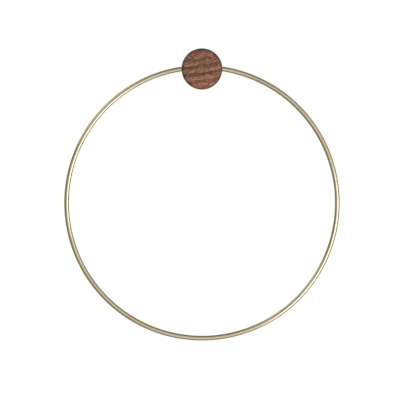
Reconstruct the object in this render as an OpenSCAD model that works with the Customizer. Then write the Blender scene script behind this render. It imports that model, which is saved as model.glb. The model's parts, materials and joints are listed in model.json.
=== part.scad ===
// Towel ring: a slim brass hoop that swings in a round hardwood knob on a wall.
// Origin: centre of the knob's back face, on the wall. +X right, +Y into the wall, +Z up.
// Units are millimetres.

/* [Hoop] */
// Diameter of the hoop, measured to the middle of the rod
hoop_d = 226; // [150:1:300]
// Thickness of the round brass rod
rod_d = 4; // [3.2:0.1:6]
// Diameter of the journal turned on each end of the rod
journal_d = 3; // [2:0.1:3]
// Length of each journal, past its shoulder
journal_l = 8.5; // [4:0.5:8.5]

/* [Knob] */
// Diameter of the turned wooden knob
knob_d = 34; // [28:0.5:60]
// How far the knob stands out from the wall
knob_l = 38; // [36:0.5:70]
// Rounding of the front rim
rim_r = 1.5; // [0.5:0.1:4]
// Chamfer of the back rim, against the wall
back_chamfer = 0.6; // [0.2:0.1:2]
// Thickness of the wood around the wall boss
skirt_wall = 6.9; // [5:0.1:8]

/* [Hinge] */
// Distance from the wall to the swing axis
hinge_y = 22; // [17:0.5:30]
// Length of each bush, and depth of its seat in the wood
bush_l = 9; // [9:0.5:11]
// Wall of each bush
bush_wall = 1; // [0.5:0.1:1.5]
// How deep each bush sits below the side of the knob
bush_recess = 0.5; // [0.2:0.1:2]
// Radial gap between a journal and its bush
journal_gap = 0.05; // [0.01:0.01:0.1]
// Gap between each journal's shoulder and its bush
end_play = 0.3; // [0.1:0.1:1]
// Radial gap between the end of the rod and the wood around it
mouth_gap = 0.8; // [0.5:0.1:1.5]

/* [Wall boss] */
// Height of the boss that the knob slides over
boss_h = 8; // [6:0.5:10]
// Radial gap between the boss and the knob
boss_gap = 0.1; // [0.05:0.05:0.5]
// Gap between the front of the boss and the wood in front of it
boss_end_gap = 0.5; // [0.2:0.1:1]
// Depth of the V groove that takes the grub screw's point
groove_depth = 1; // [0.5:0.1:1.5]
// Chamfer of the boss's front edge
boss_chamfer = 0.5; // [0.2:0.1:1]

/* [Grub screw] */
// Thread diameter of the grub screw
grub_d = 4; // [3:0.5:5]
// Wall of the threaded insert
insert_wall = 1; // [0.6:0.1:1.2]
// How deep the insert sits below the side of the knob
insert_recess = 0.8; // [0.3:0.1:1.5]
// How deep the driven end of the grub screw sits below the side of the knob
grub_recess = 1.65; // [1:0.05:2]
// Size of the hex key, across its flats
hex_key = 2; // [1.5:0.5:2]
// Depth of the hex socket
hex_depth = 2; // [1:0.5:2]

/* [Wall screw and plug] */
// Thread diameter of the wall screw
screw_d = 4; // [3:0.1:5]
// Length of the wall screw, from the top of its head to its point
screw_l = 40; // [30:1:60]
// Diameter of the screw's countersunk head
head_d = 8; // [7:0.1:9]
// Depth of the thread
thread_depth = 0.6; // [0.3:0.1:0.8]
// Distance from one turn of the thread to the next
thread_pitch = 1.8; // [1.7:0.1:2.5]
// Length of the screw's point
point_l = 4; // [3:0.5:6]
// Width of the blades of the cross recess
recess_blade = 0.9; // [0.6:0.1:1.2]
// Span of the cross recess
recess_span = 4.2; // [3:0.1:4.5]
// Depth of the cross recess
recess_depth = 1.4; // [1:0.1:1.8]
// Outer diameter of the wall plug
plug_d = 6; // [6:0.1:8]
// Length of the wall plug
plug_l = 30; // [20:1:40]
// Length of the unslotted neck at the mouth of the plug
neck_l = 16; // [10:0.5:18]
// Width of the slot that lets the plug spread
slot_w = 0.9; // [0.5:0.1:1.2]

/* [Hidden] */
// Gap around anything that is glued, pressed or screwed into its seat
seat_gap = 0.05;
// Radial gap between the wall screw and the boss
shank_gap = 0.2;
// Chamfer at the small ends: journals, bushes, grub screw and plug
small_chamfer = 0.3;
// How far a cutter runs past the surface that it opens
past = 1;

$fn = 96;
small_fn = 48;
hoop_fn = 180;

hoop_r = hoop_d / 2;
rod_r = rod_d / 2;
journal_r = journal_d / 2;
knob_r = knob_d / 2;
grub_r = grub_d / 2;
screw_r = screw_d / 2;
head_r = head_d / 2;
plug_r = plug_d / 2;

// The hoop ends in two shoulders, one at each side of the knob, and a journal on each
// runs in a bush along the swing axis.
bush_bore_r = journal_r + journal_gap;
bush_r = bush_bore_r + bush_wall;
bush_outer_x = knob_r - bush_recess;
bush_inner_x = bush_outer_x - bush_l;
shoulder_x = bush_outer_x + end_play;
end_angle = asin(shoulder_x / (hoop_r - rod_r));
hoop_z = -hoop_r * cos(end_angle);
journal_root_x = hoop_r * sin(end_angle) + rod_r / 2;

// The knob slides over the boss, and one grub screw from below locks it.
counterbore_r = knob_r - skirt_wall;
counterbore_l = boss_h + boss_end_gap;
boss_r = counterbore_r - boss_gap;
groove_y = boss_h / 2;
groove_r = boss_r - groove_depth;
insert_r = grub_r + seat_gap + insert_wall;
insert_top = counterbore_r + seat_gap;
insert_l = knob_r - insert_recess - insert_top;
grub_point_r = small_chamfer;
grub_top = groove_r + grub_point_r + seat_gap;
grub_l = knob_r - grub_recess - grub_top;

// The wall screw's head sits flush in the boss, and the screw runs on through the plug.
head_l = head_r - screw_r;
thread_core_r = screw_r - thread_depth;
thread_turns = floor((screw_l - boss_h - point_l - thread_pitch) / thread_pitch);
plug_bore_r = screw_r + seat_gap;

// Turns what is drawn along +Z so that it grows from the wall into the room.
module out_of_wall() rotate([90, 0, 0]) children();

// Turns what is drawn along +Z so that it grows into the wall.
module into_wall() rotate([-90, 0, 0]) children();

// Lays what is drawn along +Z on the swing axis; side is 1 on the right and -1 on the left.
module on_swing_axis(side) translate([0, -hinge_y, 0]) rotate([0, side * 90, 0]) children();

// Lays what is drawn along +Z on the grub screw's axis, which points down from the boss.
module on_grub_axis() translate([0, -groove_y, 0]) rotate([180, 0, 0]) children();

// A journal, from its rounded tip to its root inside the end of the rod.
module journal() {
    tip_x = shoulder_x - journal_l;
    translate([0, 0, tip_x])
        cylinder(r1 = journal_r - small_chamfer, r2 = journal_r, h = small_chamfer, $fn = small_fn);
    translate([0, 0, tip_x + small_chamfer])
        cylinder(r = journal_r, h = journal_root_x - tip_x - small_chamfer, $fn = small_fn);
}

module hoop()
    color([0.78, 0.68, 0.45])
        union() {
            translate([0, -hinge_y, hoop_z])
                rotate([90, 0, 0])
                    rotate([0, 0, 90 + end_angle])
                        rotate_extrude(angle = 360 - 2 * end_angle, $fn = hoop_fn)
                            translate([hoop_r, 0])
                                circle(rod_r, $fn = small_fn);
            for (side = [-1, 1])
                on_swing_axis(side) journal();
        }

// Half of the knob's outline: a cylinder with a chamfered back rim and a rounded front rim.
module knob_outline() {
    polygon([
        [0, 0],
        [knob_r - back_chamfer, 0],
        [knob_r, back_chamfer],
        [knob_r, knob_l - rim_r],
        [knob_r - rim_r, knob_l - rim_r],
        [knob_r - rim_r, knob_l],
        [0, knob_l]
    ]);
    translate([knob_r - rim_r, knob_l - rim_r])
        intersection() {
            circle(rim_r, $fn = small_fn);
            square(rim_r);
        }
}

module knob()
    color([0.50, 0.35, 0.28])
        difference() {
            out_of_wall() rotate_extrude() knob_outline();
            out_of_wall()
                translate([0, 0, -past])
                    cylinder(r = counterbore_r, h = counterbore_l + past);
            for (side = [-1, 1])
                on_swing_axis(side) {
                    translate([0, 0, bush_inner_x])
                        cylinder(r = bush_r + seat_gap, h = bush_l + bush_recess + past, $fn = small_fn);
                    translate([0, 0, bush_outer_x])
                        cylinder(r = rod_r + mouth_gap, h = bush_recess + past, $fn = small_fn);
                }
            on_grub_axis()
                cylinder(r = insert_r + seat_gap, h = knob_r + past, $fn = small_fn);
        }

module bush(side)
    color([0.72, 0.60, 0.36])
        on_swing_axis(side)
            difference() {
                translate([0, 0, bush_inner_x]) cylinder(r = bush_r, h = bush_l, $fn = small_fn);
                translate([0, 0, bush_inner_x - past])
                    cylinder(r = bush_bore_r, h = bush_l + 2 * past, $fn = small_fn);
                translate([0, 0, bush_outer_x - small_chamfer])
                    cylinder(
                        r1 = bush_bore_r, r2 = bush_bore_r + small_chamfer,
                        h = small_chamfer, $fn = small_fn
                    );
            }

module wall_boss()
    color([0.62, 0.63, 0.65])
        out_of_wall()
            difference() {
                union() {
                    cylinder(r = boss_r, h = boss_h - boss_chamfer);
                    translate([0, 0, boss_h - boss_chamfer])
                        cylinder(r1 = boss_r, r2 = boss_r - boss_chamfer, h = boss_chamfer);
                }
                translate([0, 0, -past])
                    cylinder(r = screw_r + shank_gap, h = boss_h + 2 * past, $fn = small_fn);
                translate([0, 0, boss_h - head_l])
                    cylinder(
                        r1 = screw_r + seat_gap, r2 = head_r + seat_gap,
                        h = head_l, $fn = small_fn
                    );
                rotate_extrude()
                    polygon([
                        [groove_r, groove_y],
                        [boss_r + past, groove_y - groove_depth - past],
                        [boss_r + past, groove_y + groove_depth + past]
                    ]);
            }

module grub_insert()
    color([0.74, 0.62, 0.36])
        on_grub_axis()
            difference() {
                translate([0, 0, insert_top]) cylinder(r = insert_r, h = insert_l, $fn = small_fn);
                translate([0, 0, insert_top - past])
                    cylinder(r = grub_r + seat_gap, h = insert_l + 2 * past, $fn = small_fn);
            }

module grub_screw() {
    cone_l = grub_r - grub_point_r;
    color([0.16, 0.16, 0.17])
        on_grub_axis()
            translate([0, 0, grub_top])
                difference() {
                    union() {
                        cylinder(r1 = grub_point_r, r2 = grub_r, h = cone_l, $fn = small_fn);
                        translate([0, 0, cone_l])
                            cylinder(r = grub_r, h = grub_l - cone_l, $fn = small_fn);
                    }
                    translate([0, 0, grub_l - hex_depth])
                        cylinder(d = hex_key / cos(30), h = hex_depth + past, $fn = 6);
                }
}

// One turn of the wall screw's thread, drawn as a closed ridge.
module thread_ridge()
    rotate_extrude($fn = small_fn)
        polygon([
            [thread_core_r - thread_depth / 2, -thread_depth],
            [screw_r, -thread_depth / 8],
            [screw_r, thread_depth / 8],
            [thread_core_r - thread_depth / 2, thread_depth]
        ]);

module wall_screw() {
    core_l = screw_l - head_l - point_l;
    color([0.70, 0.71, 0.72])
        translate([0, -boss_h, 0])
            into_wall()
                difference() {
                    union() {
                        cylinder(r1 = head_r, r2 = screw_r, h = head_l, $fn = small_fn);
                        translate([0, 0, head_l]) {
                            cylinder(r = screw_r, h = boss_h - head_l, $fn = small_fn);
                            cylinder(r = thread_core_r, h = core_l, $fn = small_fn);
                            translate([0, 0, core_l])
                                cylinder(r1 = thread_core_r, r2 = 0, h = point_l, $fn = small_fn);
                        }
                        for (turn = [1 : thread_turns])
                            translate([0, 0, boss_h + turn * thread_pitch]) thread_ridge();
                    }
                    for (turn = [0, 90])
                        rotate([0, 0, turn])
                            translate([-recess_span / 2, -recess_blade / 2, -past])
                                cube([recess_span, recess_blade, recess_depth + past]);
                }
}

module wall_plug()
    color([0.66, 0.67, 0.68])
        into_wall()
            difference() {
                union() {
                    cylinder(r = plug_r, h = plug_l - small_chamfer, $fn = small_fn);
                    translate([0, 0, plug_l - small_chamfer])
                        cylinder(
                            r1 = plug_r, r2 = plug_r - small_chamfer,
                            h = small_chamfer, $fn = small_fn
                        );
                }
                translate([0, 0, -past])
                    cylinder(r = plug_bore_r, h = plug_l + 2 * past, $fn = small_fn);
                translate([-plug_r - past, -slot_w / 2, neck_l])
                    cube([plug_d + 2 * past, slot_w, plug_l]);
            }

hoop();
knob();
bush(-1);  // bush_left
bush(1);  // bush_right
wall_boss();
grub_insert();
grub_screw();
wall_screw();
wall_plug();
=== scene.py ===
# %% [markdown]
# # A towel ring in wood and brass
# A towel ring is a hoop that hangs from a knob on the wall and swings when a towel is pulled.
# The frame holds every piece at its real size and place, so the looks are built around it:
# each new piece takes its sizes from the frame, and stands in for the plain piece there.

# %% Load the frame
import json
import math

import bmesh
import bpy
from mathutils import Matrix, Vector


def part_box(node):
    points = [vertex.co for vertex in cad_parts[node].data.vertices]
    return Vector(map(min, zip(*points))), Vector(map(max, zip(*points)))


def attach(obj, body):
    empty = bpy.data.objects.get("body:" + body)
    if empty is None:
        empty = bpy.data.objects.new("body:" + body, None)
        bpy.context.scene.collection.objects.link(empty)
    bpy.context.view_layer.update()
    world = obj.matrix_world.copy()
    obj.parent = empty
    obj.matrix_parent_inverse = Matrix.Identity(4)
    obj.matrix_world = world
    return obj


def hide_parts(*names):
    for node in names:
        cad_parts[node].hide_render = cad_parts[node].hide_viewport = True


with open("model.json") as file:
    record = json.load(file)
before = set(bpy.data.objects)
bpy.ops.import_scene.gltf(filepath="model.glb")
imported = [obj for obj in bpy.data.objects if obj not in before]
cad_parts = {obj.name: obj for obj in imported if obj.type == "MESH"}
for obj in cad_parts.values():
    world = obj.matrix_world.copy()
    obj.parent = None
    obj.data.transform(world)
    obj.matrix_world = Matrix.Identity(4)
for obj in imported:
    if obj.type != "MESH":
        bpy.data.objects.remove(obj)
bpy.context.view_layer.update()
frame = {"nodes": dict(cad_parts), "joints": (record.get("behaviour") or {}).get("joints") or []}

print("pieces in the frame:", ", ".join(sorted(frame["nodes"])))

# %% [markdown]
# ## Read the sizes
# Blender works in metres, but small parts are easier to think about in millimetres, so MM
# turns one into the other. Sizes that the frame holds are read from it. A box gives the
# hoop's thickness and width, and the joint gives the axis that the hoop swings on. The few
# sizes that a box can't show, such as a gap or a groove, get a name where they are used.

# %% Sizes of the hoop and the knob
MM = 0.001


def size_of(node):
    low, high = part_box(node)
    return high - low


hoop_low, hoop_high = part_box("hoop")
hoop_size = size_of("hoop")
rod_r = round(hoop_size.y / 2, 5)
hoop_r = round(hoop_size.x / 2 - rod_r, 5)
hoop_centre = Vector((0, (hoop_low.y + hoop_high.y) / 2, hoop_low.z + rod_r + hoop_r))
swing_axis_y = frame["joints"][0]["pos_m"][1]

knob_size = size_of("knob")
knob_r = round(knob_size.x / 2, 5)
knob_l = round(knob_size.y, 5)
print(f"hoop {2 * hoop_r / MM:.0f} mm across its rod's middle, rod {2 * rod_r / MM:.1f} mm")
print(f"knob {2 * knob_r / MM:.0f} mm across and {knob_l / MM:.0f} mm long")

# %% [markdown]
# ## A lathe for the turned pieces
# Almost everything here was turned on a lathe: the knob, the boss, the bushes, the screws.
# A lathe shape is half an outline swept round an axis, which is what the spin operator does.
# The outline is a list of (radius, height) pairs. A solid piece starts and ends on the axis;
# a tube's outline closes on itself. After the spin, the points on the axis are merged into
# one, and the normals are worked out again, since a spin can leave them facing inwards.
# A bevel then rounds a rim. It finds the rim by its radius and height, since a freshly
# turned solid has no other marks to find it by.

# %% Turn an outline into a solid
ROUND = 2 * math.pi


def turned(outline, steps=96, tube=False):
    solid = bmesh.new()
    points = [solid.verts.new((radius * MM, 0, height * MM)) for radius, height in outline]
    edges = [solid.edges.new(pair) for pair in zip(points, points[1:])]
    if tube:
        edges.append(solid.edges.new((points[-1], points[0])))
    bmesh.ops.spin(
        solid, geom=points + edges, cent=(0, 0, 0), axis=(0, 0, 1), dvec=(0, 0, 0),
        angle=ROUND, steps=steps, use_merge=True, use_duplicate=False,
    )
    bmesh.ops.remove_doubles(solid, verts=solid.verts, dist=1e-7)
    bmesh.ops.recalc_face_normals(solid, faces=solid.faces)
    return solid


def ease(solid, radius, height, by, segments=2):
    """Rounds or chamfers the rim at that radius and height, by that many millimetres."""
    def on_rim(vert):
        return (
            abs(math.hypot(vert.co.x, vert.co.y) - radius * MM) < 1e-6
            and abs(vert.co.z - height * MM) < 1e-6
        )
    rim = [edge for edge in solid.edges if all(on_rim(vert) for vert in edge.verts)]
    bmesh.ops.bevel(
        solid, geom=rim, offset=by * MM, offset_type="OFFSET", segments=segments,
        profile=0.5, affect="EDGES", material=-1, clamp_overlap=True,
    )


trial = turned([(0, 0), (10, 0), (10, 5), (0, 5)])
plain_faces = len(trial.faces)
ease(trial, 10, 5, 1)
print(f"a trial disc has {plain_faces} faces, and {len(trial.faces)} with one rim rounded")
trial.free()

# %% [markdown]
# ## Where each piece goes
# Every piece is made standing on its own +Z axis and is then laid on its real axis by a
# matrix, before it becomes an object. The finished object then sits at the origin with its
# place in its mesh, as the frame's own pieces do, so patterns in the materials never slide.
# Edges sharper than 30 degrees stay crisp and everything else is shaded smooth.

# %% Lay a solid on its axis and make it an object
OUT_OF_WALL = Matrix.Rotation(math.radians(90), 4, "X")
INTO_WALL = Matrix.Rotation(math.radians(-90), 4, "X")
DOWNWARDS = Matrix.Rotation(math.radians(180), 4, "X")
RIGHTWARDS = Matrix.Rotation(math.radians(90), 4, "Y")
LEFTWARDS = Matrix.Rotation(math.radians(-90), 4, "Y")
CRISP = math.radians(30)


def laid(along, start):
    """The place of a piece that starts at that point and points that way."""
    return Matrix.Translation(start) @ along


def settle_shading(mesh):
    mesh.shade_smooth()
    mesh.set_sharp_from_angle(angle=CRISP)


def made_into(name, solid, place=Matrix.Identity(4)):
    solid.transform(place)
    mesh = bpy.data.meshes.new(name)
    solid.to_mesh(mesh)
    solid.free()
    settle_shading(mesh)
    piece = bpy.data.objects.new(name, mesh)
    bpy.context.scene.collection.objects.link(piece)
    return piece


for words, way in (("into the wall", INTO_WALL), ("downwards", DOWNWARDS), ("right", RIGHTWARDS)):
    print(words, "is", tuple(round(share) for share in way.to_3x3() @ Vector((0, 0, 1))))

# %% [markdown]
# ## Drilling and milling
# A hole across a round side isn't a lathe shape. The Boolean modifier takes a second solid
# away from the first, like a drill or a milling cutter, and its result is kept at once, so no
# modifier stays on the piece. The cutters are thrown away afterwards. A good solid has no
# open edges, so each finished piece is counted over, and a trial block is drilled first.

# %% Cut one piece with others
def cut_with(piece, *cutters):
    for cutter in cutters:
        bite = piece.modifiers.new("bite", "BOOLEAN")
        bite.operation = "DIFFERENCE"
        bite.solver = "EXACT"
        bite.object = cutter
    bpy.context.view_layer.update()
    shape = piece.evaluated_get(bpy.context.evaluated_depsgraph_get())
    carved = bpy.data.meshes.new_from_object(shape)
    piece.modifiers.clear()
    piece.data = carved
    for cutter in cutters:
        bpy.data.objects.remove(cutter)
    settle_shading(piece.data)
    return piece


def closed(piece):
    solid = bmesh.new()
    solid.from_mesh(piece.data)
    loose = sum(not edge.is_manifold for edge in solid.edges)
    faces = len(solid.faces)
    solid.free()
    return f"{piece.name}: {faces} faces, {loose} open edges"


trial_block = made_into("trial_block", turned([(0, 0), (10, 0), (10, 5), (0, 5)]))
trial_drill = made_into("trial_drill", turned([(0, -1), (3, -1), (3, 6), (0, 6)]))
print(closed(cut_with(trial_block, trial_drill)))
bpy.data.objects.remove(trial_block)

# %% [markdown]
# ## The hoop
# The real hoop is one length of 4 mm brass rod, rolled almost full circle. Its two ends stop
# at the sides of the knob, and a thinner journal is turned on each, which runs in a bush.
# A torus with a piece cut out would leave the ends rough, so the rod's round section is
# spun about the hoop's centre from one shoulder to the other.

# %% Spin the rod round the hoop
END_PLAY = 0.3
ROD_SIDES = 64
HOOP_STEPS = 288

bush_low, bush_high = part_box("bush_right")
shoulder_x = bush_high.x + END_PLAY * MM
end_angle = math.asin(shoulder_x / (hoop_r - rod_r))

rod = bmesh.new()
bmesh.ops.create_circle(rod, cap_ends=False, segments=ROD_SIDES, radius=rod_r)
at_right_end = (
    Matrix.Rotation(end_angle, 4, "Y")
    @ Matrix.Translation((0, 0, hoop_r))
    @ Matrix.Rotation(math.radians(90), 4, "Y")
)
rod.transform(at_right_end)
bmesh.ops.spin(
    rod, geom=rod.verts[:] + rod.edges[:], cent=(0, 0, 0), axis=(0, 1, 0), dvec=(0, 0, 0),
    angle=ROUND - 2 * end_angle, steps=HOOP_STEPS, use_merge=False, use_duplicate=False,
)
rod.transform(Matrix.Translation(hoop_centre))
open_rims = [edge for edge in rod.edges if edge.is_boundary]
end_caps = bmesh.ops.holes_fill(rod, edges=open_rims, sides=0)["faces"]
bmesh.ops.recalc_face_normals(rod, faces=rod.faces)
print(f"rod of {len(rod.faces)} faces, ends {math.degrees(end_angle):.1f} degrees from the top")

# %% [markdown]
# A shoulder is an inset in the rod's end face, and the journal is that inner face pulled
# out along the swing axis. The end face leans a little, because the rod is still curving
# there, so the journal's points are moved out to a true cylinder about the axis.

# %% Pull a journal out of each end
JOURNAL_R = 1.5
JOURNAL_L = 8.5
JOURNAL_ROOT = 0.5
TIP_CHAMFER = 0.3


def set_on_axis(verts, radius, x=None):
    """Moves points onto a cylinder about the swing axis, and to one end of it if x is given."""
    for vert in verts:
        around = Vector((0, vert.co.y - swing_axis_y, vert.co.z)).normalized() * radius
        vert.co.y = swing_axis_y + around.y
        vert.co.z = around.z
        if x is not None:
            vert.co.x = x


for cap in end_caps:
    side = 1 if cap.calc_center_median().x > 0 else -1
    tip_x = side * (shoulder_x - JOURNAL_L * MM)
    bmesh.ops.inset_individual(rod, faces=[cap], thickness=rod_r - JOURNAL_R * MM, depth=0)
    set_on_axis(cap.verts, JOURNAL_R * MM)
    for reach in (JOURNAL_ROOT, JOURNAL_L - TIP_CHAMFER, JOURNAL_L):
        pulled = bmesh.ops.extrude_face_region(rod, geom=[cap])["geom"]
        bmesh.ops.delete(rod, geom=[cap], context="FACES_ONLY")
        cap = next(made for made in pulled if isinstance(made, bmesh.types.BMFace))
        set_on_axis(cap.verts, JOURNAL_R * MM, side * (shoulder_x - reach * MM))
    set_on_axis(cap.verts, (JOURNAL_R - TIP_CHAMFER) * MM, tip_x)

bmesh.ops.recalc_face_normals(rod, faces=rod.faces)
hoop = made_into("brass_hoop", rod)
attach(hoop, "ring")
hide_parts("hoop")
print(closed(hoop))

# %% [markdown]
# ## The knob
# The knob is turned from dark hardwood: a cylinder with a rounded front rim and a small
# chamfer against the wall. A counterbore in its back takes the wall boss. Two blind seats in
# its sides take the bushes, and a hole from below takes the grub screw's insert. The
# outline has two more points on the side and one on the front, so that no face is very long.

# %% Turn the knob
RIM_ROUNDING = 1.5
BACK_CHAMFER = 0.6
MOUTH_CHAMFER = 0.3
BOSS_GAP = 0.1
BOSS_END_GAP = 0.5
BESIDE_HINGE = 4
FRONT_RING = 0.6
KNOB_STEPS = 160

boss_size = size_of("wall_boss")
boss_r = round(boss_size.x / 2 / MM, 2)
boss_h = round(boss_size.y / MM, 2)
counterbore_r = boss_r + BOSS_GAP
counterbore_l = boss_h + BOSS_END_GAP
side_r = knob_r / MM
front = knob_l / MM
hinge_h = -swing_axis_y / MM

blank = turned(
    [
        (0, counterbore_l), (counterbore_r, counterbore_l), (counterbore_r, 0), (side_r, 0),
        (side_r, hinge_h - BESIDE_HINGE), (side_r, hinge_h + BESIDE_HINGE),
        (side_r, front), (FRONT_RING * side_r, front), (0, front),
    ],
    steps=KNOB_STEPS,
)
ease(blank, side_r, front, RIM_ROUNDING, segments=8)
ease(blank, side_r, 0, BACK_CHAMFER, segments=1)
ease(blank, counterbore_r, 0, MOUTH_CHAMFER, segments=1)
knob = made_into("wooden_knob", blank, OUT_OF_WALL)
print(closed(knob))

# %% [markdown]
# ## The holes in the knob
# The drills are turned solids too. Each is a little longer than its hole, and flares at
# the mouth, so that it leaves the slight chamfer that a maker gives every hole in wood.
# The seats are drilled along the swing axis, and the insert's hole straight down.

# %% Drill the knob
SEAT_GAP = 0.05
SHOULDER_GAP = 0.8
HOLE_CHAMFER = 0.2
OVERRUN = 2

bush_size = size_of("bush_right")
bush_r = round(bush_size.z / 2 / MM, 3)
bush_l = round(bush_size.x / MM, 3)
bush_start = round(bush_low.x / MM, 3)
bush_end = bush_start + bush_l
insert_low, insert_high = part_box("grub_insert")
insert_r = round(size_of("grub_insert").x / 2 / MM, 3)
insert_axis_y = (insert_low.y + insert_high.y) / 2


def seat_drill(name, along):
    mouth_r = rod_r / MM + SHOULDER_GAP
    drill = turned(
        [
            (0, bush_start), (bush_r + SEAT_GAP, bush_start), (bush_r + SEAT_GAP, bush_end),
            (mouth_r, bush_end), (mouth_r, side_r - HOLE_CHAMFER),
            (mouth_r + OVERRUN + HOLE_CHAMFER, side_r + OVERRUN), (0, side_r + OVERRUN),
        ],
        steps=64,
    )
    return made_into(name, drill, laid(along, (0, swing_axis_y, 0)))


insert_drill = turned(
    [
        (0, 0), (insert_r + SEAT_GAP, 0), (insert_r + SEAT_GAP, side_r - HOLE_CHAMFER),
        (insert_r + SEAT_GAP + OVERRUN + HOLE_CHAMFER, side_r + OVERRUN), (0, side_r + OVERRUN),
    ],
    steps=64,
)
cut_with(
    knob,
    seat_drill("drill_right", RIGHTWARDS),
    seat_drill("drill_left", LEFTWARDS),
    made_into("drill_below", insert_drill, laid(DOWNWARDS, (0, insert_axis_y, 0))),
)
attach(knob, "wall_knob")
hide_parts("knob")
print(closed(knob))

# %% [markdown]
# ## The bushes
# A brass bush in each side of the knob keeps the journal from wearing the wood. It is a
# plain sleeve with its bore chamfered at the outer end, and one function makes both.

# %% Turn the two bushes
JOURNAL_GAP = 0.05
BUSH_EDGE = 0.15
bush_bore_r = JOURNAL_R + JOURNAL_GAP


def bush(name, along, node):
    sleeve = turned(
        [
            (bush_bore_r, 0), (bush_r, 0), (bush_r, bush_l),
            (bush_bore_r + TIP_CHAMFER, bush_l), (bush_bore_r, bush_l - TIP_CHAMFER),
        ],
        steps=64, tube=True,
    )
    ease(sleeve, bush_r, bush_l, BUSH_EDGE)
    ease(sleeve, bush_r, 0, BUSH_EDGE)
    sleeve.transform(Matrix.Translation((0, 0, bush_start * MM)))
    piece = made_into(name, sleeve, laid(along, (0, swing_axis_y, 0)))
    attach(piece, "wall_knob")
    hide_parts(node)
    return piece


bush_right = bush("right_bush", RIGHTWARDS, "bush_right")
bush_left = bush("left_bush", LEFTWARDS, "bush_left")
print(closed(bush_right))
print(closed(bush_left))

# %% [markdown]
# ## The wall boss
# The boss is a turned steel disc. A V groove round its rim takes the point of the grub
# screw, which pulls the knob tight to the wall, and its middle is countersunk for the screw.

# %% Turn the boss
GROOVE_DEPTH = 1
BOSS_CHAMFER = 0.5
SHANK_GAP = 0.2
BOSS_EDGE = 0.3
BORE_EDGE = 0.2

screw_size = size_of("wall_screw")
head_r = round(screw_size.x / 2 / MM, 2)
screw_l = round(screw_size.y / MM, 2)
SCREW_R = 2
shank_hole_r = SCREW_R + SHANK_GAP
sink_r = head_r + SEAT_GAP

boss_solid = turned(
    [
        (shank_hole_r, 0), (boss_r, 0), (boss_r, boss_h / 2 - GROOVE_DEPTH),
        (boss_r - GROOVE_DEPTH, boss_h / 2), (boss_r, boss_h / 2 + GROOVE_DEPTH),
        (boss_r, boss_h - BOSS_CHAMFER), (boss_r - BOSS_CHAMFER, boss_h),
        (sink_r, boss_h), (shank_hole_r, boss_h - (sink_r - shank_hole_r)),
    ],
    steps=128, tube=True,
)
ease(boss_solid, boss_r, 0, BOSS_EDGE)
ease(boss_solid, shank_hole_r, 0, BORE_EDGE)
boss = made_into("steel_boss", boss_solid, OUT_OF_WALL)
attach(boss, "wall_knob")
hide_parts("wall_boss")
print(closed(boss))

# %% [markdown]
# ## A helix for the threads
# A thread is a small outline, one pitch long, that climbs as it turns. The spin operator
# makes it when dvec moves each step a little along the axis. Each turn's upper edge then
# lies on the next turn's lower edge, and merging the doubles joins them into one skin.
# Two flat cuts trim the skin to length, and the holes that they leave are filled. A thread
# that runs out is dressed like a bolt's end on a grinder: what stands out is brought in.

# %% Spin a threaded rod
THREAD_SIDES = 40
ROOT_FLAT = 0.12


def threaded_rod(crest_r, root_r, pitch, low, high, crest=0.125):
    """A closed rod with a helical thread, from height low to height high, in millimetres."""
    turns = math.ceil((high - low) / pitch) + 2
    start = low - pitch
    outline = [
        (root_r, 0), (root_r, ROOT_FLAT), (crest_r, 0.5 - crest / 2),
        (crest_r, 0.5 + crest / 2), (root_r, 1 - ROOT_FLAT), (root_r, 1),
    ]
    skin = bmesh.new()
    points = [
        skin.verts.new((radius * MM, 0, (start + share * pitch) * MM))
        for radius, share in outline
    ]
    edges = [skin.edges.new(pair) for pair in zip(points, points[1:])]
    bmesh.ops.spin(
        skin, geom=points + edges, cent=(0, 0, 0), axis=(0, 0, 1),
        dvec=(0, 0, pitch * MM / THREAD_SIDES), angle=ROUND * turns,
        steps=THREAD_SIDES * turns, use_merge=False, use_duplicate=False,
    )
    bmesh.ops.remove_doubles(skin, verts=skin.verts, dist=2e-6)
    for height, outwards in ((low, -1), (high, 1)):
        bmesh.ops.bisect_plane(
            skin, geom=skin.verts[:] + skin.edges[:] + skin.faces[:], dist=1e-7,
            plane_co=(0, 0, height * MM), plane_no=(0, 0, outwards), clear_outer=True,
        )
    rims = [edge for edge in skin.edges if edge.is_boundary]
    bmesh.ops.holes_fill(skin, edges=rims, sides=0)
    bmesh.ops.recalc_face_normals(skin, faces=skin.faces)
    return skin


def dress(solid, widest):
    """Turns down what stands out past widest(height), which gives a radius in millimetres."""
    for vert in solid.verts:
        reach = math.hypot(vert.co.x, vert.co.y)
        limit = max(widest(vert.co.z / MM), 0) * MM
        if reach > limit:
            vert.co.x *= limit / reach
            vert.co.y *= limit / reach


trial = threaded_rod(crest_r=2, root_r=1.6, pitch=0.7, low=0, high=7)
print(f"a trial thread of ten turns has {len(trial.faces)} faces")
trial.free()

# %% [markdown]
# ## The wall screw
# A countersunk screw holds the boss to the wall. Its thread is coarse and sharp, because it
# cuts into a plug, and it runs out into a point. The head and shank are turned, the thread
# is a helix, and the cross recess is milled with a tapered blade turned through 90 degrees.

# %% Make the wall screw
THREAD_DEPTH = 0.6
SCREW_PITCH = 1.8
POINT_L = 4
HEAD_EDGE = 0.1
HEAD_GAP = 0.05
THREAD_START = 1
THREAD_CREST = 0.04
POINT_BLUNT = 0.02
RECESS_DEPTH = 1.4
RECESS_SPAN = 4.2
RECESS_BLADE = 0.9
RECESS_TAPER = (0.55, 0.8)
RECESS_OVERRUN = 0.2
RECESS_TURN = 20

head_l = head_r - SCREW_R
shank_end = boss_h - THREAD_START
head_top = laid(INTO_WALL, (0, -boss_h * MM, 0))

shank = turned(
    [
        (0, 0), (head_r - HEAD_GAP, 0), (head_r, HEAD_EDGE), (SCREW_R, head_l),
        (SCREW_R, shank_end), (SCREW_R - THREAD_DEPTH, shank_end + THREAD_DEPTH),
        (0, shank_end + THREAD_DEPTH),
    ],
    steps=64,
)
screw = made_into("wall_screw_body", shank, head_top)

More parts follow.
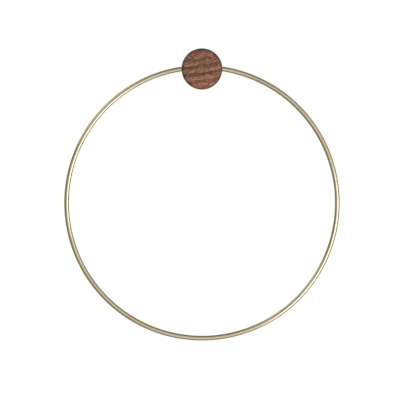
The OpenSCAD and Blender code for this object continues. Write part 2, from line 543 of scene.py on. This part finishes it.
thread = threaded_rod(
    SCREW_R, SCREW_R - THREAD_DEPTH, SCREW_PITCH, shank_end, screw_l, crest=THREAD_CREST,
)
dress(thread, lambda height: (screw_l - height) * SCREW_R / POINT_L + POINT_BLUNT)
screw_thread = made_into("wall_screw_thread", thread, head_top)


def recess_blade(name, turn):
    blade = bmesh.new()
    bmesh.ops.create_cube(blade, size=1)
    for vert in blade.verts:
        deep = vert.co.z > 0
        vert.co.x *= RECESS_SPAN * MM * (RECESS_TAPER[0] if deep else 1)
        vert.co.y *= RECESS_BLADE * MM * (RECESS_TAPER[1] if deep else 1)
        vert.co.z = RECESS_DEPTH * MM if deep else -RECESS_OVERRUN * MM
    return made_into(name, blade, head_top @ Matrix.Rotation(math.radians(turn), 4, "Z"))


cut_with(
    screw,
    recess_blade("blade_one", RECESS_TURN),
    recess_blade("blade_two", RECESS_TURN + 90),
)
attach(screw, "wall_knob")
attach(screw_thread, "wall_knob")
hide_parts("wall_screw")
print(closed(screw))
print(closed(screw_thread))

# %% [markdown]
# ## The wall plug
# The plug is moulded nylon. It has a plain neck at its mouth, and saw-toothed rings behind
# it that grip the hole. A slot lets it spread as the screw goes in. The teeth are
# part of the turned outline, and the slot is milled across.

# %% Make the wall plug
PLUG_NECK = 16
NECK_STEP = 1
TOOTH = 1.75
TOOTH_DEPTH = 0.32
TOOTH_SLOPE = 0.8
SLOT_W = 0.9
PLUG_TIP = 0.3
MOUTH_EDGE = 0.2

plug_size = size_of("wall_plug")
plug_r = round(plug_size.x / 2 / MM, 2)
plug_l = round(plug_size.y / MM, 2)
plug_bore_r = SCREW_R + SEAT_GAP

outline = [(plug_bore_r, 0), (plug_r, 0), (plug_r, PLUG_NECK - NECK_STEP)]
for tooth in range(int((plug_l - PLUG_NECK) / TOOTH)):
    foot = PLUG_NECK + tooth * TOOTH
    outline.append((plug_r - TOOTH_DEPTH, foot))
    outline.append((plug_r, foot + TOOTH_SLOPE * TOOTH))
outline += [(plug_r - PLUG_TIP, plug_l), (plug_bore_r, plug_l)]
plug_solid = turned(outline, steps=72, tube=True)
ease(plug_solid, plug_bore_r, 0, MOUTH_EDGE)
plug = made_into("nylon_plug", plug_solid, INTO_WALL)

slot = bmesh.new()
bmesh.ops.create_cube(slot, size=1)
slot.transform(Matrix.Diagonal((3 * plug_r * MM, SLOT_W * MM, plug_l * MM, 1)))
slot_saw = made_into("slot_saw", slot, laid(INTO_WALL, (0, (PLUG_NECK + plug_l / 2) * MM, 0)))
cut_with(plug, slot_saw)
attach(plug, "wall_knob")
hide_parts("wall_plug")
print(closed(plug))

# %% [markdown]
# ## The grub screw
# The grub screw is a headless M4 screw with a cone point and a hex socket. Its cone seats in
# the boss's V groove and draws the knob to the wall. The thread is the helix again, dressed
# to a cone at its point and to a small chamfer at its driven end, with the socket cut last.

# %% Make the grub screw
GRUB_R = 2
GRUB_ROOT_R = 1.6
GRUB_PITCH = 0.7
GRUB_POINT_R = 0.3
GRUB_CHAMFER = 0.3
HEX_KEY = 2
HEX_DEPTH = 2

grub_low, grub_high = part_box("grub_screw")
grub_top = round(-grub_high.z / MM, 3)
grub_end = round(-grub_low.z / MM, 3)
on_grub_axis = laid(DOWNWARDS, (0, insert_axis_y, 0))

grub_solid = threaded_rod(GRUB_R, GRUB_ROOT_R, GRUB_PITCH, grub_top, grub_end)
dress(grub_solid, lambda height: GRUB_POINT_R + height - grub_top)
dress(grub_solid, lambda height: GRUB_R - GRUB_CHAMFER + grub_end - height)
grub = made_into("grub_screw_m4", grub_solid, on_grub_axis)

socket = bmesh.new()
bmesh.ops.create_cone(
    socket, cap_ends=True, segments=6, radius1=HEX_KEY / math.sqrt(3) * MM,
    radius2=HEX_KEY / math.sqrt(3) * MM, depth=2 * HEX_DEPTH * MM,
)
socket.transform(Matrix.Translation((0, 0, grub_end * MM)))
cut_with(grub, made_into("hex_key_end", socket, on_grub_axis))
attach(grub, "wall_knob")
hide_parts("grub_screw")
print(closed(grub))

# %% [markdown]
# ## The threaded insert
# A thread cut in wood would soon strip, so the grub screw runs in a brass insert. Its
# outside has barbed rings that hold in the wood, which are part of the turned outline. Its
# inside is cut with the grub screw's own helix, made slightly larger, so the two mesh.

# %% Make the threaded insert
BARB = 1.2
BARB_DEPTH = 0.25
BARB_LAND = 0.15
END_LAND = 0.01
TAP_TURNS = 18

insert_top = round(-insert_high.z / MM, 3)
insert_end = round(-insert_low.z / MM, 3)
outline = [(0, insert_top), (insert_r - BARB_DEPTH, insert_top)]
for barb in range(int((insert_end - insert_top) / BARB)):
    foot = insert_top + barb * BARB
    outline.append((insert_r, foot + BARB_LAND))
    outline.append((insert_r - BARB_DEPTH, foot + BARB))
outline += [(insert_r, insert_end - END_LAND), (insert_r, insert_end), (0, insert_end)]
insert = made_into("threaded_insert", turned(outline, steps=64), on_grub_axis)

tap = threaded_rod(
    GRUB_R + SEAT_GAP, GRUB_ROOT_R + SEAT_GAP, GRUB_PITCH,
    grub_top - 2 * GRUB_PITCH, grub_top + TAP_TURNS * GRUB_PITCH,
)
cut_with(insert, made_into("tap", tap, on_grub_axis))
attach(insert, "wall_knob")
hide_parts("grub_insert")
print(closed(insert))

# %% [markdown]
# ## Building a finish from nodes
# Each material is a small network of nodes. These helpers make a node, fill its sockets, and
# join it to others, so a network reads from top to bottom like a recipe. A value that varies
# over the surface is linked in, and a value that is the same all over is set on the shader.

# %% Start a finish and add nodes to it
def new_finish(name, metallic=0.0):
    material = bpy.data.materials.new(name)
    material.use_nodes = True
    tree = material.node_tree
    shader = tree.nodes["Principled BSDF"]
    shader.inputs["Metallic"].default_value = metallic
    return material, tree, shader


def add(tree, kind, sockets=None, **settings):
    made = tree.nodes.new(kind)
    for key, value in settings.items():
        setattr(made, key, value)
    for key, value in (sockets or {}).items():
        if isinstance(value, bpy.types.NodeSocket):
            tree.links.new(value, made.inputs[key])
        else:
            made.inputs[key].default_value = value
    return made


def maths(tree, operation, *values, clamp=False):
    sockets = dict(enumerate(values))
    return add(tree, "ShaderNodeMath", sockets, operation=operation, use_clamp=clamp).outputs[0]


def arrow(tree, operation, *values):
    """Vector arithmetic. A length and a dot product are numbers, the rest are vectors."""
    made = add(tree, "ShaderNodeVectorMath", dict(enumerate(values)), operation=operation)
    return made.outputs["Value" if operation in ("LENGTH", "DOT_PRODUCT") else "Vector"]


trial_finish, trial_tree, trial_shader = new_finish("trial_finish")
maths(trial_tree, "MULTIPLY", 0.5, 2.0)
print("a fresh finish and one sum:", ", ".join(node.name for node in trial_tree.nodes))
bpy.data.materials.remove(trial_finish)

# %% [markdown]
# ## Where a point is on the piece
# Object coordinates are in metres and fixed to the piece, so a pattern on them never slides
# when the piece swings. A Mapping node turns them into millimetres, counted from any point.
# The other helpers take a vector apart and put one together.

# %% Find a point on the piece
def apart(tree, vector):
    return add(tree, "ShaderNodeSeparateXYZ", {0: vector}).outputs


def together(tree, x=0.0, y=0.0, z=0.0):
    return add(tree, "ShaderNodeCombineXYZ", {0: x, 1: y, 2: z}).outputs[0]


def millimetres(tree, through=(0, 0, 0)):
    """The piece's own coordinates in millimetres, counted from a point given in metres."""
    place = add(tree, "ShaderNodeTexCoord").outputs["Object"]
    shift = tuple(-coordinate / MM for coordinate in through)
    return add(tree, "ShaderNodeMapping", {
        "Vector": place, "Location": shift, "Scale": (1 / MM, 1 / MM, 1 / MM),
    }, vector_type="POINT").outputs[0]


print(f"in millimetres, the swing axis is {-swing_axis_y / MM:.0f} out from the wall")

# %% [markdown]
# ## Patterns and colours
# Nearly every pattern here is noise that has been stretched one way, read through a range or
# a colour ramp. Stretching is done by scaling the coordinates first: a small number along an
# axis draws the noise out along it. Colours are written as they look on a screen.

# %% Make patterns and colours
def noise(tree, vector, stretch=(1, 1, 1), detail=3.0, roughness=0.5):
    """Noise from 0 to 1, whose grains are 1 / stretch of the vector's own unit along each axis."""
    return add(tree, "ShaderNodeTexNoise", {
        "Vector": arrow(tree, "MULTIPLY", vector, stretch), "Scale": 1.0,
        "Detail": detail, "Roughness": roughness,
    }).outputs["Fac"]


def spread(tree, value, low, high, to_low=0.0, to_high=1.0):
    """Stretches a value from one range to another, and holds it inside."""
    return add(tree, "ShaderNodeMapRange", {
        "Value": value, "From Min": low, "From Max": high, "To Min": to_low, "To Max": to_high,
    }).outputs[0]


def ramp(tree, value, *stops):
    made = add(tree, "ShaderNodeValToRGB", {"Fac": value})
    elements = made.color_ramp.elements
    while len(elements) < len(stops):
        elements.new(1.0)
    for element, (position, colour) in zip(elements, stops):
        element.position = position
        element.color = (*colour, 1)
    return made.outputs["Color"]


def mixed(tree, share, first, second, blend="MIX"):
    made = add(tree, "ShaderNodeMix", {"Factor": share}, data_type="RGBA", blend_type=blend)
    for index, value in ((6, first), (7, second)):
        if isinstance(value, bpy.types.NodeSocket):
            tree.links.new(value, made.inputs[index])
        else:
            made.inputs[index].default_value = (*value, 1)
    return made.outputs[2]


def raised(tree, height, distance, strength=1.0):
    return add(tree, "ShaderNodeBump", {
        "Height": height, "Distance": distance * MM, "Strength": strength,
    }).outputs[0]


def paint(red, green, blue):
    """A colour given as it looks on a screen, from 0 to 255, as the linear values nodes use."""
    return tuple(
        (shown / 255 / 12.92) if shown <= 10 else ((shown / 255 + 0.055) / 1.055) ** 2.4
        for shown in (red, green, blue)
    )


def give(material, slot, *pieces_of_it):
    for piece in pieces_of_it:
        piece.data.materials.clear()
        piece.data.materials.append(material)
    print(f"{material.name} on {', '.join(piece.name for piece in pieces_of_it)}")


print(f"mid grey on a screen is {paint(128, 128, 128)[0]:.3f} of full light")

# %% [markdown]
# ## Dark hardwood
# The knob is cut with its grain running left to right, so its front shows long grain. A flat
# picture would smear round the side, so the wood is a solid texture, as if the knob had been
# cut from a block of it. Its growth rings are distances from a heart line far below and
# behind. The grain climbs gently towards the right, bends a little, and sways as it goes.

# %% Bend the grain and grow the rings
GRAIN_CLIMB = 0.155
GRAIN_CURVE = 0.0035
GRAIN_SWAY = 2
HEART = (0, -16, 88)
RING_GAP = 5.45
RING_START = 104.9


def bent_grain(tree, place):
    """The place in the block of wood: x runs along the grain, z across it."""
    x, y, z = apart(tree, place)
    slope = maths(tree, "MULTIPLY_ADD", x, GRAIN_CURVE, GRAIN_CLIMB)
    level = maths(tree, "SUBTRACT", z, maths(tree, "MULTIPLY", slope, x))
    bent = together(tree, x, y, level)
    slow = arrow(tree, "MULTIPLY", bent, (0.04, 0.09, 0.09))
    sway = add(tree, "ShaderNodeTexNoise", {
        "Vector": slow, "Scale": 1.0, "Detail": 2.0, "Roughness": 0.5,
    }).outputs["Color"]
    sway = arrow(tree, "SUBTRACT", sway, (0.5, 0.5, 0.5))
    sway = arrow(tree, "MULTIPLY", sway, (0, GRAIN_SWAY, GRAIN_SWAY))
    return arrow(tree, "ADD", bent, sway)


def growth_band(tree, bent):
    """0.5 in the middle of each dark band of growth, 0 halfway between two bands."""
    across = arrow(tree, "MULTIPLY", arrow(tree, "ADD", bent, HEART), (0, 1, 1))
    reach = arrow(tree, "LENGTH", across)
    count = maths(tree, "DIVIDE", maths(tree, "SUBTRACT", reach, RING_START), RING_GAP)
    ripple = noise(tree, bent, (0.12, 0.5, 0.5), detail=2)
    count = maths(tree, "ADD", count, spread(tree, ripple, 0.2, 0.8, -0.10, 0.10))
    return maths(tree, "PINGPONG", maths(tree, "ADD", count, 0.5), 0.5)


print(f"rings {RING_GAP} mm apart, about {2 * side_r / RING_GAP:.0f} across the knob")

# %% [markdown]
# ## Dark bands
# The late growth of each ring is the dark band. On real wood the bands don't all show the
# same, so slow noise fades them, and they are strongest left of the middle of the face.

# %% Darken the late growth
def dark_bands(tree, bent, x, z):
    """1 where a dark band is at its strongest, 0 between the bands."""
    band = spread(tree, growth_band(tree, bent), 0.16, 0.36)
    fade = spread(tree, noise(tree, bent, (0.07, 0.2, 0.2), detail=2), 0.3, 0.7, 0.35, 0.75)
    fade = maths(tree, "ADD", fade, spread(tree, x, -14, 14, 0.35, 0.0))
    near_middle = spread(tree, maths(tree, "ABSOLUTE", z), 3, 12, 1.15, 0.6)
    band = maths(tree, "MULTIPLY", band, fade)
    return maths(tree, "MULTIPLY", band, near_middle, clamp=True)


print("bands fade over about", round(1 / 0.07), "mm along the grain")

# %% [markdown]
# ## Pores and flecks
# An open-grained wood has vessels that are cut lengthwise on the face, and show as thin dark
# dashes, with paler flecks between them. A Voronoi texture gives one spot to each cell.
# Cells stretched along the grain turn the spots into dashes. Two sizes of pore together look
# less regular than one, and they crowd where the wood is mottled, as in real growth.

# %% Scatter the pores
PORE_SIZE = (3.6, 0.50)
SHORT_PORE_SIZE = (2.4, 0.75)
FLECK_SIZE = (2.2, 0.75)


def dashes(tree, bent, size, low, high, seed):
    """Short dashes along the grain: 1 inside a dash, 0 outside."""
    length, width = size
    cells = arrow(tree, "MULTIPLY", bent, (1 / length, 1 / width, 1 / width))
    cells = arrow(tree, "ADD", cells, (seed, 0, seed))
    cell = add(tree, "ShaderNodeTexVoronoi", {"Vector": cells, "Scale": 1.0, "Randomness": 1.0})
    return spread(tree, cell.outputs["Distance"], low, high, 1.0, 0.0)


def open_pores(tree, bent, mottle):
    long_pores = dashes(tree, bent, PORE_SIZE, 0.22, 0.32, 0.0)
    short_pores = dashes(tree, bent, SHORT_PORE_SIZE, 0.20, 0.28, 7.3)
    pores = maths(tree, "MAXIMUM", long_pores, short_pores)
    return maths(tree, "MULTIPLY", pores, spread(tree, mottle, 0.40, 0.58, 0.25, 1.0))


print(f"pores up to {PORE_SIZE[0]} mm long, flecks up to {FLECK_SIZE[0]} mm")

# %% [markdown]
# ## The colour of the wood
# Three noises are added to one lightness: long streaks, a softer mottle, and fine fibres.
# A ramp turns the lightness into browns. Another slow noise leans the browns towards red or
# olive, as heartwood varies, and then the flecks, the bands and the pores go on top.

# %% Colour the wood
def browns(tree, bent, streak, mottle, z):
    """The brown of the wood before its bands and pores."""
    fibre = noise(tree, bent, (0.35, 3.2, 3.2), detail=2, roughness=0.6)
    light = maths(tree, "MULTIPLY_ADD", maths(tree, "SUBTRACT", streak, 0.5), 0.6, mottle)
    light = maths(tree, "MULTIPLY_ADD", maths(tree, "SUBTRACT", fibre, 0.5), 0.45, light)
    # Painted shade: the lightness drops a little towards the top of the face and rises towards the
    # bottom, as light from below falls on it.
    light = maths(tree, "SUBTRACT", light, spread(tree, z, -17, 17, -0.02, 0.03))
    brown = ramp(
        tree, light,
        (0.34, paint(84, 53, 40)), (0.46, paint(125, 83, 64)),
        (0.54, paint(151, 104, 80)), (0.66, paint(195, 148, 119)),
    )
    fleck = dashes(tree, bent, FLECK_SIZE, 0.20, 0.36, 3.1)
    brown = mixed(tree, maths(tree, "MULTIPLY", fleck, 0.45), brown, paint(186, 151, 125))
    reddish = mixed(tree, 1.0, brown, (1.08, 0.95, 0.88), "MULTIPLY")
    olive = mixed(tree, 1.0, brown, (0.97, 1.01, 0.90), "MULTIPLY")
    hue = noise(tree, bent, (0.10, 0.20, 0.20), detail=2)
    return mixed(tree, spread(tree, hue, 0.40, 0.60), olive, reddish)


print("browns from", (84, 53, 40), "to", (195, 148, 119))

# %% [markdown]
# ## The finish of the wood
# The outer ring of the face and its rounded rim are darkened in the colour: painted shade, where
# the rim turns away from the light. The pores stay open
# under the oil: they are sunk a tenth of a millimetre, and are duller than the wood between.

# %% Oil the knob
RIM_SHADE_FROM = 14.6
RIM_SHADE_TO = 16.6
PORE_DEPTH = 0.10


def dark_hardwood():
    material, tree, shader = new_finish("oiled_hardwood")
    place = millimetres(tree)
    x, _, z = apart(tree, place)
    bent = bent_grain(tree, place)
    streak = noise(tree, bent, (0.10, 2.4, 2.4), detail=4, roughness=0.6)
    mottle = noise(tree, bent, (0.30, 1.0, 1.0), detail=4, roughness=0.75)
    pore = open_pores(tree, bent, mottle)

    colour = browns(tree, bent, streak, mottle, z)
    shade = mixed(tree, 1.0, colour, (0.42, 0.39, 0.42), "MULTIPLY")
    colour = mixed(tree, dark_bands(tree, bent, x, z), colour, shade)
    colour = mixed(tree, maths(tree, "MULTIPLY", pore, 0.90), colour, paint(52, 34, 28))
    # Painted shade: the colour darkens from the outer ring of the face out over the rounded rim,
    # where the rim turns away from the light.
    from_middle = arrow(tree, "LENGTH", arrow(tree, "MULTIPLY", place, (1, 0, 1)))
    rim_shade = mixed(tree, 1.0, colour, (0.52, 0.50, 0.54), "MULTIPLY")
    colour = mixed(tree, spread(tree, from_middle, RIM_SHADE_FROM, RIM_SHADE_TO), colour, rim_shade)
    tree.links.new(colour, shader.inputs["Base Color"])

    matt = maths(tree, "MULTIPLY_ADD", streak, 0.22, 0.46)
    matt = maths(tree, "MULTIPLY_ADD", pore, 0.20, matt, clamp=True)
    tree.links.new(matt, shader.inputs["Roughness"])
    shader.inputs["Specular IOR Level"].default_value = 0.3

    relief = maths(tree, "SUBTRACT", maths(tree, "MULTIPLY", streak, 0.35), pore)
    tree.links.new(raised(tree, relief, PORE_DEPTH, 0.8), shader.inputs["Normal"])
    return material


give(dark_hardwood(), "dark_wood", knob)

# %% [markdown]
# ## Along the rod
# The rod was brushed along its length, which leaves long hair-fine lines. They have to
# follow the curve, so the finish works out where a point is along the hoop, and how far out
# and forward it is on the rod. The angle is measured from the bottom, so the place where it
# jumps from +180 to -180 degrees is hidden inside the knob.

# %% Measure along the rod
def along_the_rod(tree):
    """How far a point is round the hoop, and how far out and back on the rod, in millimetres."""
    x, y, z = apart(tree, millimetres(tree, through=hoop_centre))
    angle = maths(tree, "ARCTAN2", x, maths(tree, "MULTIPLY", z, -1.0))
    radius = arrow(tree, "LENGTH", together(tree, x, 0.0, z))
    travel = maths(tree, "MULTIPLY", angle, hoop_r / MM)
    outward = maths(tree, "SUBTRACT", radius, hoop_r / MM)
    return together(tree, travel, outward, y)


print(f"{ROUND * hoop_r / MM:.0f} mm round the hoop")

# %% [markdown]
# ## Satin brass
# Noise that is slow along the rod and quick across it draws the brushed lines. They change
# the roughness most, the colour a little, and stand up by little more than a micrometre.
# Slower noise gives the brass its clouds of tarnish. Brass turns a deeper yellow at glancing
# angles, which the specular tint does, and a clear coat of lacquer lies over everything.

# %% Brush and lacquer the brass
BRASS_LIGHT = (220, 206, 172)
BRASS_MIDDLE = (214, 199, 163)
BRASS_DARK = (207, 191, 155)
BRASS_GLANCING = (188, 162, 100)
BRUSHED_DEPTH = 0.0015


def satin_brass():
    material, tree, shader = new_finish("lacquered_brass", metallic=1.0)
    on_rod = along_the_rod(tree)
    brushed = noise(tree, on_rod, (0.05, 6.0, 6.0), detail=4, roughness=0.6)
    tarnish = noise(tree, on_rod, (0.03, 0.25, 0.25), detail=3, roughness=0.55)

    colour = ramp(
        tree, tarnish,
        (0.35, paint(*BRASS_DARK)), (0.5, paint(*BRASS_MIDDLE)), (0.65, paint(*BRASS_LIGHT)),
    )
    worn = mixed(tree, 1.0, colour, (0.86, 0.84, 0.78), "MULTIPLY")
    colour = mixed(tree, spread(tree, brushed, 0.3, 0.7, 0.0, 0.30), colour, worn)
    tree.links.new(colour, shader.inputs["Base Color"])
    shader.inputs["Specular Tint"].default_value = (*paint(*BRASS_GLANCING), 1)
    shader.inputs["Coat Weight"].default_value = 1.0
    shader.inputs["Coat Roughness"].default_value = 0.12
    rough = spread(tree, brushed, 0.3, 0.7, 0.15, 0.23)
    rough = maths(tree, "ADD", rough, spread(tree, tarnish, 0.35, 0.65, -0.02, 0.03))
    tree.links.new(rough, shader.inputs["Roughness"])
    tree.links.new(raised(tree, brushed, BRUSHED_DEPTH, 0.5), shader.inputs["Normal"])
    return material


give(satin_brass(), "satin_brass", hoop)

# %% [markdown]
# ## Turned metals
# A turned piece has fine rings round its own axis from the tool. The rings are noise read
# along one line only: the distance from that axis plus the height along it, so they run
# round the sides and across the faces alike. One function makes every turned metal, given
# its colour, its axis, how rough it is, and how far apart and deep the rings are.

# %% Turn the metals
def turned_metal(name, colour, axis, through=(0, 0, 0), rough=0.3, ring=0.22, depth=0.01):
    material, tree, shader = new_finish(name, metallic=1.0)
    place = millimetres(tree, through)
    across = tuple(0.0 if letter == axis else 1.0 for letter in "XYZ")
    radius = arrow(tree, "LENGTH", arrow(tree, "MULTIPLY", place, across))
    height = apart(tree, place)[axis]
    feed = together(tree, maths(tree, "ADD", radius, height))
    marks = noise(tree, feed, (1 / ring, 1, 1), detail=2)
    wear = noise(tree, place, (0.45, 0.45, 0.45), detail=4, roughness=0.6)
    dulled = tuple(0.72 * channel for channel in colour)
    shade = mixed(tree, spread(tree, wear, 0.35, 0.65, 0.0, 0.6), colour, dulled)
    tree.links.new(shade, shader.inputs["Base Color"])
    rough = maths(
        tree, "ADD",
        spread(tree, marks, 0.3, 0.7, rough - 0.07, rough + 0.09),
        spread(tree, wear, 0.35, 0.65, -0.03, 0.06),
    )
    tree.links.new(rough, shader.inputs["Roughness"])
    tree.links.new(raised(tree, marks, depth, 0.7), shader.inputs["Normal"])
    return material


bush_axis = (0, swing_axis_y, 0)
grub_axis = (0, insert_axis_y, 0)
turned_brass = turned_metal("turned_brass", paint(212, 182, 118), "X", bush_axis)
insert_brass = turned_metal("insert_brass", paint(208, 176, 108), "Z", grub_axis)
bright_steel = turned_metal("bright_steel", paint(176, 178, 182), "Y", rough=0.34, depth=0.014)
zinc_plate = turned_metal("zinc_plate", paint(196, 200, 208), "Y", rough=0.26)
black_oxide = turned_metal("black_oxide", paint(58, 58, 62), "Z", grub_axis, rough=0.42)
give(turned_brass, "bush_brass", bush_left, bush_right)
give(insert_brass, "bush_brass", insert)
give(bright_steel, "turned_steel", boss)
give(zinc_plate, "zinc_steel", screw, screw_thread)
give(black_oxide, "black_steel", grub)

# %% [markdown]
# ## Moulded nylon
# Nylon is slightly translucent, with a soft gloss and the faint grain of its mould. A
# little subsurface light keeps it from looking like painted wood.

# %% Mould the nylon
def moulded_nylon():
    material, tree, shader = new_finish("moulded_nylon")
    place = millimetres(tree)
    cloud = noise(tree, place, (0.35, 0.35, 0.35), detail=3)
    skin = noise(tree, place, (5, 5, 5), detail=3, roughness=0.6)
    colour = ramp(tree, cloud, (0.35, paint(158, 160, 163)), (0.65, paint(176, 178, 181)))
    tree.links.new(colour, shader.inputs["Base Color"])
    tree.links.new(spread(tree, skin, 0.3, 0.7, 0.38, 0.52), shader.inputs["Roughness"])
    tree.links.new(raised(tree, skin, 0.02, 0.5), shader.inputs["Normal"])
    shader.inputs["Subsurface Weight"].default_value = 0.15
    shader.inputs["Subsurface Radius"].default_value = (2 * MM, 2 * MM, 2 * MM)
    return material


give(moulded_nylon(), "grey_nylon", plug)

# %% [markdown]
# ## The room
# Metal shows what it reflects, so a brass rod is mostly a picture of the room. The camera
# sees plain white, while the pieces see a soft grey room that is brightest towards a window
# on the right, and dim and warm away from it. The Light Path node tells the two apart. The
# room's grey comes from a dot product: how nearly a direction points at the window.

# %% Light the room
BRIGHT_SIDE = (0.5, -0.8, -0.3)
ROOM_DIM = 0.27
ROOM_BRIGHT = 0.90
ROOM_WARMTH = (1.0, 0.91, 0.68)
WHITE = (1.0, 1.0, 1.0)


def soft_room():
    world = bpy.data.worlds.new("soft_room")
    bpy.context.scene.world = world
    world.use_nodes = True
    tree = world.node_tree
    background = tree.nodes["Background"]
    direction = add(tree, "ShaderNodeTexCoord").outputs["Generated"]
    towards_window = arrow(tree, "DOT_PRODUCT", direction, BRIGHT_SIDE)
    seen = add(tree, "ShaderNodeLightPath").outputs["Is Camera Ray"]
    level = spread(tree, towards_window, 0.25, 0.85, ROOM_DIM, ROOM_BRIGHT)
    level = add(tree, "ShaderNodeMix", {0: seen, 2: level, 3: 1.0}, data_type="FLOAT").outputs[0]
    tree.links.new(level, background.inputs["Strength"])
    warm = spread(tree, towards_window, -0.2, 0.6)
    colour = mixed(tree, warm, ROOM_WARMTH, WHITE)
    colour = mixed(tree, seen, colour, WHITE)
    tree.links.new(colour, background.inputs["Color"])


soft_room()
print(f"the room goes from {ROOM_DIM} to {ROOM_BRIGHT} towards the window")

# %% [markdown]
# ## The softboxes
# A tall softbox stands to the right like a window, and reaches far down. A round rod shows
# it as a thin bright line wherever the rod's curve faces it: on the inside of the hoop at the
# upper left, and on the outside at the lower right. A weak fill from the upper left opens the
# dark edges, and a softbox behind lights the back of the knob for views from the wall's side.

# %% Set up the softboxes
DAYLIGHT = (0.86, 0.94, 1.0)


def softbox(name, place, aim, width, height, brightness):
    """An area light whose face is equally bright at any size: its power grows with its area."""
    lamp = bpy.data.lights.new(name, "AREA")
    lamp.shape = "RECTANGLE"
    lamp.size = width
    lamp.size_y = height
    lamp.energy = brightness * math.pi * width * height
    lamp.color = DAYLIGHT
    box = bpy.data.objects.new(name, lamp)
    bpy.context.scene.collection.objects.link(box)
    box.location = place
    box.rotation_euler = (Vector(aim) - Vector(place)).to_track_quat("-Z", "Y").to_euler()
    box.visible_camera = False
    print(f"{name}: {width} by {height} m, {lamp.energy:.1f} W")


middle = hoop_centre
window = middle + Vector((0.67, -0.82, -0.50))
across_from_window = middle + Vector((0, 0, -0.50))
softbox("window_softbox", window, across_from_window, 0.42, 1.25, 3.2)
softbox("fill_softbox", middle + Vector((-0.9, -0.25, 0.9)), middle, 0.9, 0.9, 0.8)
softbox("back_softbox", middle + Vector((-0.35, 1.4, 0.3)), middle, 0.8, 0.8, 2.2)

# %% [markdown]
# ## The floor
# The ring hangs on a wall and nothing stands under it, so the floor is a plain pale sheet,
# put far enough down that the ring can also be looked at from below. It gives off light of
# its own, so that it is as white as the room behind it, and the edge between them can't be
# seen. Glossy rays pass it by, which keeps the underside of the rod from turning flat white.

# %% Lay the floor
FLOOR_DROP = 4.6
FLOOR_SIDE = 60
FLOOR_GLOW = 0.80

floor_solid = bmesh.new()
bmesh.ops.create_grid(floor_solid, x_segments=1, y_segments=1, size=FLOOR_SIDE / 2)
floor = made_into("floor", floor_solid, Matrix.Translation((0, 0, -FLOOR_DROP)))
floor_material, floor_tree, floor_shader = new_finish("pale_floor")
floor_shader.inputs["Base Color"].default_value = (0.8, 0.8, 0.8, 1)
floor_shader.inputs["Roughness"].default_value = 0.9
floor_shader.inputs["Emission Color"].default_value = (*WHITE, 1)
floor_shader.inputs["Emission Strength"].default_value = FLOOR_GLOW
floor.data.materials.append(floor_material)
floor.visible_glossy = False
print(f"floor {FLOOR_DROP} m below the knob")

# %% [markdown]
# ## The camera
# The ring is seen straight on. A very long lens eight metres away shows the knob's face
# without its sides. The lens follows from the distance and the width of the view. The camera
# stands a little off the middle, as a camera placed by hand does.

# %% Place the camera
VIEW_WIDTH = 334.0
CAMERA_AWAY = 8.0
OFF_MIDDLE = -1.6
CAMERA_BELOW_KNOB = 109.4

camera_data = bpy.data.cameras.new("camera")
camera = bpy.data.objects.new("camera", camera_data)
bpy.context.scene.collection.objects.link(camera)
camera.location = (OFF_MIDDLE * MM, swing_axis_y - CAMERA_AWAY, -CAMERA_BELOW_KNOB * MM)
camera.rotation_euler = (math.radians(90), 0, 0)
camera_data.sensor_width = 36
camera_data.lens = camera_data.sensor_width * CAMERA_AWAY / (VIEW_WIDTH * MM)
camera_data.clip_end = 50
bpy.context.scene.camera = camera
bpy.context.scene.view_settings.view_transform = "Standard"
print(f"lens {camera_data.lens:.0f} mm")
